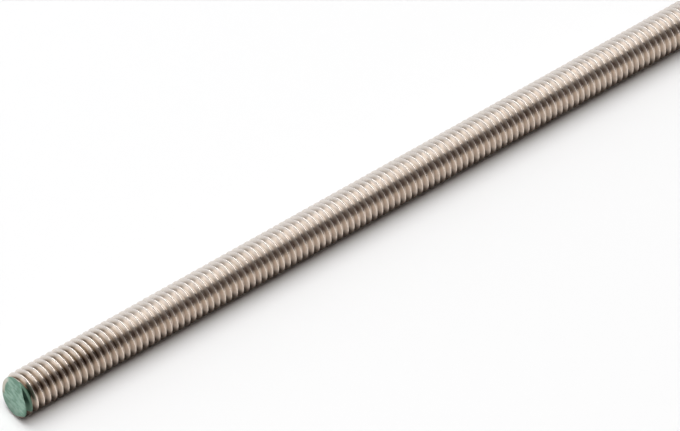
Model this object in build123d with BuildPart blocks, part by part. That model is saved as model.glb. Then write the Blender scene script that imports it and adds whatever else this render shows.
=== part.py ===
from build123d import *
import os

# Threaded rod, metric coarse M6: one bar of stainless steel, rolled with a thread from end
# to end and cut off. The bar is the thread's blank, at the diameter over the crests. It
# lies along X with its middle at the origin. Its painted end is the one towards -X, and
# the cut there runs a little out of square: its lower side, towards -Y, stands out most.

# Driving sizes, in millimetres
rod_length = 120.0
diameter_over_crests = 5.85
edge_break = 0.2

# How far the painted end falls back for each millimetre towards +Y and towards +Z
slant_to_side = 0.1
slant_to_top = 0.17

# How far the painted end has fallen back at the rod's own axis
slant_at_axis = diameter_over_crests / 2 * (slant_to_side ** 2 + slant_to_top ** 2) ** 0.5

with BuildPart() as threaded_rod:
    # The round section at the painted end, carried along the rod to the plain end
    with BuildSketch(Plane.YZ.offset(-rod_length / 2)):
        Circle(radius=diameter_over_crests / 2)
    extrude(amount=rod_length)

    # The painted end is cut off along its slant
    painted_end = Plane(
        origin=(-rod_length / 2 + slant_at_axis, 0, 0),
        z_dir=(-1, slant_to_side, slant_to_top),
    )
    split(bisect_by=painted_end, keep=Keep.BOTTOM)

    # Both cut ends have their sharp rim broken
    end_faces = threaded_rod.faces().filter_by(GeomType.PLANE)
    chamfer(end_faces.edges(), length=edge_break)

threaded_rod.part.label = "threaded_rod"

os.makedirs("parts", exist_ok=True)
export_step(threaded_rod.part, "parts/threaded_rod.step")
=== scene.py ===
from math import cos, pi, radians, sin, tan

import bmesh
import bpy
import numpy as np
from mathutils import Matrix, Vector


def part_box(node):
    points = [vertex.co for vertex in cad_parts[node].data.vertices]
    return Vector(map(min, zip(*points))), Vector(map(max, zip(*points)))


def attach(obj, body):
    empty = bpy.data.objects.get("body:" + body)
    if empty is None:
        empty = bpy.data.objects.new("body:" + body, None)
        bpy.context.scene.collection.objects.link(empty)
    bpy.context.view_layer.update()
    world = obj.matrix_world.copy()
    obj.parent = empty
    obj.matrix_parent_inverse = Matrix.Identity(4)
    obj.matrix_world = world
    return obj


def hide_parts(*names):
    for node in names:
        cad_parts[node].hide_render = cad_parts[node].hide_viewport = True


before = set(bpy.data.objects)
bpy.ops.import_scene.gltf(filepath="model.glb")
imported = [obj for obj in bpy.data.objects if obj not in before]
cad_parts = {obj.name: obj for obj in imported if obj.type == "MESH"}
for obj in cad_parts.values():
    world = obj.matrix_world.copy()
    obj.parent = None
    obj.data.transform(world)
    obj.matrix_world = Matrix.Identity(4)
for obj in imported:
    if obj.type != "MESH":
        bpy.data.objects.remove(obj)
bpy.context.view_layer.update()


# The threaded rod
# One bar of stainless steel, rolled between dies that press an M6 coarse thread along its
# whole length, then cut off, a little askew at the end that is marked with green paint.
rod_low, rod_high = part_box("threaded_rod")
painted_end_x, plain_end_x = rod_low[0], rod_high[0]
rod_length = plain_end_x - painted_end_x
crest_radius = min(rod_high[2], -rod_low[2])

# The thread's profile, from one crest to the next
pitch = 0.001
flank_slope = 1 / tan(radians(30))
crest_flat = pitch / 8
crest_corner = 0.035 * pitch
root_radius = 0.1443 * pitch
root_depth = 0.6134 * pitch
root_half_width = pitch / 8

# Where its helix starts, and how finely the skin follows it. The rows of points across the
# skin lie closest at the crest's corner and in the root. Places across it are in pitches
first_crest_turn = 0.785
steps_per_turn = 48
turns_before_rod = 3
turns_past_length = 5
crest_to_root = np.array([0.0, 0.045, 0.07, 0.1, 0.24, 0.36, 0.4, 0.45])
middle_of_root = 0.5

# The two cuts: which way each faces, how far the slanted one has fallen back at the axis, and
# how much the rims are broken. An edge that turns by sharp_from or more is shaded sharp
painted_end_slant = Vector((-1, 0.1, 0.17))
painted_end_fall = 0.000583
plain_end_slant = Vector((1, 0.0, 0.0))
edge_break = 0.0002
sharp_from = radians(40)


def thread_radius(x, turn):
    """Radius of the thread at a place x along the rod and at an angle, in turns.

    The distance from the nearest crest, measured along the rod, gives the depth under the
    crests: a flat with soft corners, a straight flank at 30 degrees and a round root. Close to
    a cut end the radius is no more than the crests', less the edge break, plus the distance
    from the cut, so that the rim is broken at 45 degrees.
    """
    place = (x - painted_end_x) / pitch - turn - first_crest_turn
    from_crest = np.abs(place - np.round(place)) * pitch
    past_flat = (from_crest - crest_flat / 2) * flank_slope
    flank = (past_flat + np.sqrt(past_flat ** 2 + crest_corner ** 2)) / 2
    from_root = np.minimum(pitch / 2 - from_crest, root_half_width)
    root = root_depth - root_radius + np.sqrt(root_radius ** 2 - from_root ** 2)
    radius = crest_radius - np.where(from_root < root_half_width, root, flank)
    fall = painted_end_slant.y * np.cos(2 * pi * turn) + painted_end_slant.z * np.sin(2 * pi * turn)
    from_painted_end = x - painted_end_x - painted_end_fall - crest_radius * fall
    from_cut = np.maximum(np.minimum(from_painted_end, plain_end_x - x), 0)
    return np.minimum(radius, crest_radius - edge_break + from_cut)


def threaded_skin():
    """Points and faces of the thread, from over a pitch before the rod to over a pitch past it.

    The skin is a ribbon one pitch wide, from crest to crest, wound round the rod: row q turns
    by q steps and starts q / steps_per_turn pitches further on. The far edge of a row is the
    start of the row one turn on, so the two share their points and the skin has no seam.
    """
    across = np.concatenate([crest_to_root, [middle_of_root], 1 - crest_to_root[:0:-1]])
    columns = len(across)
    full_rows = round(rod_length / pitch + turns_past_length) * steps_per_turn
    turn = np.arange(full_rows + steps_per_turn)[:, None] / steps_per_turn
    x = painted_end_x + pitch * (turn + first_crest_turn - turns_before_rod + across)
    radius = thread_radius(x, turn)
    ribbon = np.stack([x, radius * np.cos(2 * pi * turn), radius * np.sin(2 * pi * turn)], axis=-1)
    points = np.concatenate([ribbon[:full_rows].reshape(-1, 3), ribbon[full_rows:, 0]])
    edge_of_last = full_rows * columns + np.arange(steps_per_turn)
    number = np.arange(full_rows * columns).reshape(full_rows, columns)
    start = np.concatenate([number[:, 0], edge_of_last])
    number = np.column_stack([number, start[steps_per_turn:]])
    faces = np.stack([number[:-1, :-1], number[1:, :-1], number[1:, 1:], number[:-1, 1:]], axis=-1)
    return points, faces.reshape(-1, 4)


def cut_off(shape, place, outward):
    """Cuts a shape by a plane through a place, drops what is outward and closes the cut."""
    everything = shape.verts[:] + shape.edges[:] + shape.faces[:]
    cut = bmesh.ops.bisect_plane(shape, geom=everything, plane_co=place, plane_no=outward, clear_outer=True)
    rim = [part for part in cut["geom_cut"] if isinstance(part, bmesh.types.BMEdge)]
    bmesh.ops.edgenet_fill(shape, edges=rim)


points, faces = threaded_skin()
rod_mesh = bpy.data.meshes.new("rod_with_thread")
rod_mesh.from_pydata(points.tolist(), [], faces.tolist())
shape = bmesh.new()
shape.from_mesh(rod_mesh)
cut_off(shape, (painted_end_x + painted_end_fall, 0, 0), painted_end_slant)
cut_off(shape, (plain_end_x, 0, 0), plain_end_slant)
bmesh.ops.recalc_face_normals(shape, faces=shape.faces)
shape.to_mesh(rod_mesh)
shape.free()
rod_mesh.shade_smooth()
rod_mesh.set_sharp_from_angle(angle=sharp_from)
rod = bpy.data.objects.new("rod_with_thread", rod_mesh)
bpy.context.collection.objects.link(rod)

# The rod's finish is one material, which these small functions build up from nodes
finish = bpy.data.materials.new("rolled_steel_green_end")
finish.use_nodes = True
nodes, links = finish.node_tree.nodes, finish.node_tree.links


def link(value, socket):
    """Sets a socket to a plain value, or feeds it from the output of another node."""
    if isinstance(value, (int, float, tuple)):
        socket.default_value = value
    else:
        links.new(value, socket)


def calculate(operation, *values):
    """The result of an operation, such as ADD or SQRT, on one or two values."""
    node = nodes.new("ShaderNodeMath")
    node.operation = operation
    for value, socket in zip(values, node.inputs):
        link(value, socket)
    return node.outputs[0]


def product(first, *others):
    """All the values multiplied together."""
    for other in others:
        first = calculate("MULTIPLY", first, other)
    return first


def span(value, low, high, to_low=0.0, to_high=1.0):
    """A smooth step from to_low, where the value is low or less, to to_high past high."""
    node = nodes.new("ShaderNodeMapRange")
    node.interpolation_type = "SMOOTHSTEP"
    for number, socket in zip((value, low, high, to_low, to_high), node.inputs):
        link(number, socket)
    return node.outputs[0]


def noise(detail, scale):
    """Noise with about as many bumps a metre along each axis as its scale says."""
    stretch = nodes.new("ShaderNodeMapping")
    stretch.inputs["Scale"].default_value = scale
    links.new(surface_point, stretch.inputs["Vector"])
    node = nodes.new("ShaderNodeTexNoise")
    node.inputs["Scale"].default_value = 1.0
    node.inputs["Detail"].default_value = detail
    links.new(stretch.outputs["Vector"], node.inputs["Vector"])
    return node.outputs["Fac"]


def mix(share, first, second, kind="RGBA"):
    """The first colour or value where the share is 0, and the second where it is 1."""
    node = nodes.new("ShaderNodeMix")
    node.data_type = kind
    sockets = [socket for socket in node.inputs if socket.enabled]
    for value, socket in zip((share, first, second), sockets):
        link(value, socket)
    return [socket for socket in node.outputs if socket.enabled][0]


# Where a point of the surface lies: along the rod, towards +Y, its height, its distance from
# the axis, how far it faces towards +Y and upwards, and how far it is from each cut face
never_zero = 1e-5
crest = float(crest_radius)
root = float(crest_radius - root_depth)

surface_point = nodes.new("ShaderNodeTexCoord").outputs["Object"]
parts = nodes.new("ShaderNodeSeparateXYZ")
links.new(surface_point, parts.inputs[0])
along, side, height = parts.outputs
from_axis = calculate("SQRT", calculate("ADD", product(side, side), product(height, height)))
divisor = calculate("ADD", from_axis, never_zero)
sideways = calculate("DIVIDE", side, divisor)
upwards = calculate("DIVIDE", height, divisor)
along_slant = nodes.new("ShaderNodeVectorMath")
along_slant.operation = "DOT_PRODUCT"
link(surface_point, along_slant.inputs[0])
link(tuple(-painted_end_slant), along_slant.inputs[1])
painted_cut_x = float(painted_end_x) + painted_end_fall
from_painted_face = calculate("SUBTRACT", along_slant.outputs["Value"], painted_cut_x)
from_plain_face = calculate("SUBTRACT", float(plain_end_x), along)

# Each pair of numbers below is a low and a high value, between which a part of the finish
# fades in or out: metres, noise, or how far a point faces sideways or upwards, from -1 to 1
noise_range = (0.3, 0.7)
skin_of_face = (0.00002, 0.00008)

bare_steel_colour = (0.75, 0.695, 0.65, 1)
# The browner steel colour below is painted warm shade, on all but the top of the rod
warm_shade_colour = (0.725, 0.62, 0.535, 1)
# The next two colours darken the flanks and roots, most near the painted end and on top
dark_flank_colour = (0.42, 0.33, 0.25, 1)
dark_root_colour = (0.10, 0.07, 0.045, 1)
# The dark brown below is painted shadow on the rod's underside
underside_shadow_colour = (0.10, 0.065, 0.043, 1)
# Where the roots and flanks are darkened: near the painted end, in patches, and more on top
darkening_fades_from = 0.010
darkening_fades_to = 0.022
darkening_further_on = 0.4
darkening_between_patches = 0.7
darkening_on_lower_side = 0.5
darkening_rise_upwards = (0.1, 0.7)
undarkened_crest_depth = 0.00008
full_root_darkening_height = 0.00003
no_root_darkening_height = 0.0002
# How far a point faces upwards where the painted warm shade and the painted underside shadow fade
warm_shade_below = (0.3, 0.8)
underside_shadow_below = (-0.5, -0.05)
underside_shadow_share = 0.9
polished_depth = 0.00004
unpolished_depth = 0.00012
crest_roughness = 0.16
flank_roughness = 0.27
streak_roughness = 0.08
underside_roughness = 0.2
dull_below = (-0.2, 0.4)


def rolled_steel():
    """Colour and roughness of the rolled steel, and the fine streaks that run round it.

    The crests are polished and the flanks duller. The roots and flanks are darker, most of
    all towards the painted end and more on top than below. All but the top is painted browner
    as painted warm shade, and the underside darker as painted shadow. Neither cut face is
    darkened, and the plain one has no painted shade either.
    """
    streaks = noise(detail=3, scale=(9000, 260, 260))
    patches = noise(detail=2, scale=(120, 300, 300))
    off_plain_face = span(from_plain_face, *skin_of_face)
    # How much the roots and flanks are darkened, most near the painted end and on top
    darkening = product(
        span(along, painted_end_x + darkening_fades_from, painted_end_x + darkening_fades_to, 1.0, darkening_further_on),
        span(patches, *noise_range, darkening_between_patches, 1.0),
        span(from_painted_face, *skin_of_face),
        span(upwards, *darkening_rise_upwards, darkening_on_lower_side, 1.0),
        off_plain_face,
    )
    flank_darkening = product(darkening, span(from_axis, root, crest - undarkened_crest_depth, 1.0, 0.0))
    darkening_in_root = span(from_axis, root + full_root_darkening_height, root + no_root_darkening_height, 1.0, 0.0)
    root_darkening = product(darkening, darkening_in_root)
    # Painted warm shade on all but the top, and painted shadow on the underside
    warm_shade = product(span(upwards, *warm_shade_below, 1.0, 0.0), off_plain_face)
    underside_shadow = product(span(upwards, *underside_shadow_below, underside_shadow_share, 0.0), off_plain_face)
    steel = mix(warm_shade, bare_steel_colour, warm_shade_colour)
    steel = mix(flank_darkening, steel, dark_flank_colour)
    steel = mix(root_darkening, steel, dark_root_colour)
    steel = mix(underside_shadow, steel, underside_shadow_colour)

    polish = span(from_axis, crest - unpolished_depth, crest - polished_depth)
    rolled_roughness = mix(polish, flank_roughness, crest_roughness, "FLOAT")
    roughness = calculate("ADD", span(streaks, *noise_range, 0.0, streak_roughness), rolled_roughness)
    roughness = calculate("ADD", roughness, span(upwards, *dull_below, underside_roughness, 0.0))
    return steel, roughness, streaks


paint_colour = (0.13, 0.26, 0.19, 1)
thin_paint_colour = (0.28, 0.44, 0.355, 1)
thick_paint_colour = (0.12, 0.22, 0.16, 1)
# The nearly black paint below is painted shade in the first groove
groove_shade_paint_colour = (0.001, 0.022, 0.010, 1)
least_reach = 0.00006
most_reach = 0.00012
paint_edge = (-0.00004, 0.00006)
run_over_reach = 0.00112
run_over_side = (-0.85, -0.1)
run_over_above = (-0.65, -0.3)
worn_side = (0.75, 0.95)
worn_upwards = 0.2
most_worn_depth = 0.0006
worn_from_depth = 0.0009
worn_share = 0.7
strokes_in_patches = 0.6
pale_strokes = (0.62, 0.98)
# Towards the bottom of the face the paint is darker
darker_below = (-0.0024, -0.0006)
darker_below_share = 0.5
thick_past_face = (0.00004, 0.00016)
# Where the painted shade in the groove lies: behind the face, under the crests, and by height
groove_shade_past_face = (0.00002, 0.0001)
groove_shade_from_depth = 0.0001
full_groove_shade_depth = 0.0003
groove_shade_rises = (-0.0003, 0.0012)


def marking_paint():
    """Where the green paint lies, its colour, and the brush strokes in it.

    It covers the cut face, worn thin at its rim towards +Y, and darker towards the bottom.
    Towards -Y it has run over the edge: thick on the first turn of the thread, and in its
    groove nearly black, which is painted shade, darkest towards the top.
    """
    brush = noise(detail=3, scale=(400, 900, 2600))
    daub = noise(detail=2, scale=(1500, 900, 900))
    patches = noise(detail=1, scale=(300, 500, 500))
    run_over = product(
        span(sideways, *run_over_side, run_over_reach, 0.0),
        span(upwards, *run_over_above),
    )
    reach = calculate("ADD", run_over, span(daub, *noise_range, least_reach, most_reach))
    covered = span(calculate("SUBTRACT", reach, from_painted_face), *paint_edge)
    towards_worn_side = calculate("ADD", sideways, product(upwards, worn_upwards))
    worn = product(
        span(towards_worn_side, *worn_side),
        span(from_axis, crest - worn_from_depth, crest - most_worn_depth, 0.0, worn_share),
    )
    painted = product(covered, calculate("SUBTRACT", 1.0, worn))

    strokes = calculate("ADD", brush, product(patches, strokes_in_patches))
    # Painted shade: the paint in the groove is nearly black, darkest towards the top
    groove_shade = product(
        span(from_painted_face, *groove_shade_past_face),
        span(from_axis, crest - full_groove_shade_depth, crest - groove_shade_from_depth, 1.0, 0.0),
        span(height, *groove_shade_rises),
    )
    paint = mix(span(strokes, *pale_strokes), paint_colour, thin_paint_colour)
    # Towards the bottom the paint takes the darker colour of the thick paint
    paint = mix(span(height, *darker_below, darker_below_share, 0.0), paint, thick_paint_colour)
    paint = mix(span(from_painted_face, *thick_past_face), paint, thick_paint_colour)
    paint = mix(groove_shade, paint, groove_shade_paint_colour)
    return painted, paint, brush


paint_roughness = 0.42
specular_level = 0.25
bump_strength = 0.25
bump_height = 0.00002

steel, steel_roughness, streaks = rolled_steel()
painted, paint, brush = marking_paint()
shader = nodes["Principled BSDF"]
link(mix(painted, steel, paint), shader.inputs["Base Color"])
link(mix(painted, 1.0, 0.0, "FLOAT"), shader.inputs["Metallic"])
link(mix(painted, steel_roughness, paint_roughness, "FLOAT"), shader.inputs["Roughness"])
link(specular_level, shader.inputs["Specular IOR Level"])
bump = nodes.new("ShaderNodeBump")
link(bump_strength, bump.inputs["Strength"])
link(bump_height, bump.inputs["Distance"])
link(mix(painted, streaks, brush, "FLOAT"), bump.inputs["Height"])
link(bump.outputs["Normal"], shader.inputs["Normal"])

rod_mesh.materials.append(finish)
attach(rod, "root")
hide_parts("threaded_rod")


# The floor
# A plain pale sheet, matt and without a pattern. The rod lies on it, and it is much larger
# than the view, so that it shows no edge.
floor_colour = (0.873, 0.886, 0.899, 1)
floor_reach = 20.0
floor_z = rod_low[2]
matt_roughness = 0.9
matt_specular_level = 0.2


def plain_sheet(name, corners, colour):
    """One flat face through the corners, in a matt colour."""
    mesh = bpy.data.meshes.new(name)
    mesh.from_pydata(corners, [], [tuple(range(len(corners)))])
    sheet = bpy.data.objects.new(name, mesh)
    bpy.context.collection.objects.link(sheet)
    material = bpy.data.materials.new(name)
    material.use_nodes = True
    shader = material.node_tree.nodes["Principled BSDF"]
    shader.inputs["Base Color"].default_value = colour
    shader.inputs["Roughness"].default_value = matt_roughness
    shader.inputs["Specular IOR Level"].default_value = matt_specular_level
    mesh.materials.append(material)


plain_sheet("floor", [
    (-floor_reach, -floor_reach, floor_z),
    (floor_reach, -floor_reach, floor_z),
    (floor_reach, floor_reach, floor_z),
    (-floor_reach, floor_reach, floor_z),
], floor_colour)


# The light
# A large soft box hangs over the rod and a longer, narrower one to the left of it, with a
# pale wall behind the rod, all in a dim room.
room_colour = (1, 1, 1, 1)
room_light = 0.35
overhead_size = (1.54, 2.14)
overhead_middle = (-0.07, 0.608, 2.0)
overhead_radiance = 3.3
left_size = (6.66, 0.74)
left_middle = (-2.67, -0.83, 2.0)
left_radiance = 1.9
left_colour = (1.0, 0.93, 0.86)
wall_size = (8.0, 2.86)
wall_middle = (-3.2, 2.4, 1.43)
wall_radiance = 0.56
wall_turn = (radians(-90), 0, 0)

world = bpy.data.worlds.new("dim_room")
world.use_nodes = True
background = world.node_tree.nodes["Background"]
background.inputs["Color"].default_value = room_colour
background.inputs["Strength"].default_value = room_light
bpy.context.scene.world = world


def soft_box(name, size, middle, radiance):
    """A soft box that shines down until it is turned. Its power is radiance * area * pi."""
    box = bpy.data.lights.new(name, "AREA")
    box.shape = "RECTANGLE"
    box.size, box.size_y = size
    box.energy = radiance * pi * box.size * box.size_y
    lamp = bpy.data.objects.new(name, box)
    lamp.location = middle
    bpy.context.collection.objects.link(lamp)
    return lamp


soft_box("overhead_soft_box", overhead_size, overhead_middle, overhead_radiance)
left = soft_box("left_soft_box", left_size, left_middle, left_radiance)
left.data.color = left_colour
wall = soft_box("pale_wall", wall_size, wall_middle, wall_radiance)
wall.rotation_euler = wall_turn


# The curtain
# A brown cloth that hangs behind the camera, from the floor up. The rod mirrors it as the
# dark band along its middle.
curtain_y = -2.0
curtain_reach = 16.0
curtain_top = 3.33
curtain_colour = (0.08, 0.045, 0.035, 1)
plain_sheet("brown_curtain", [
    (-curtain_reach, curtain_y, floor_z),
    (curtain_reach, curtain_y, floor_z),
    (curtain_reach, curtain_y, curtain_top),
    (-curtain_reach, curtain_y, curtain_top),
], curtain_colour)


# The camera
# A long lens, close to the painted end, looks down on the rod as it runs away to the
# upper right of the picture and out of it.
render_width_px = 680
focal_length_px = 5849
sensor_width_mm = 36.0
nearest_seen = 0.01
camera_distance = 0.7739
camera_azimuth = radians(40.434)
camera_elevation = radians(41.139)
aim_along_rod = 0.055365
aim_sideways = 0.000085
aim_height = -0.000276

camera_data = bpy.data.cameras.new("camera")
camera_data.sensor_width = sensor_width_mm
camera_data.lens = focal_length_px / render_width_px * sensor_width_mm
camera_data.clip_start = nearest_seen
camera = bpy.data.objects.new("camera", camera_data)
forward = Vector((
    sin(camera_azimuth) * cos(camera_elevation),
    cos(camera_azimuth) * cos(camera_elevation),
    -sin(camera_elevation),
))
aim = Vector((painted_end_x + aim_along_rod, aim_sideways, aim_height))
camera.location = aim - camera_distance * forward
camera.rotation_euler = forward.to_track_quat("-Z", "Y").to_euler()
bpy.context.collection.objects.link(camera)
bpy.context.scene.camera = camera

bpy.context.scene.view_settings.view_transform = "Standard"
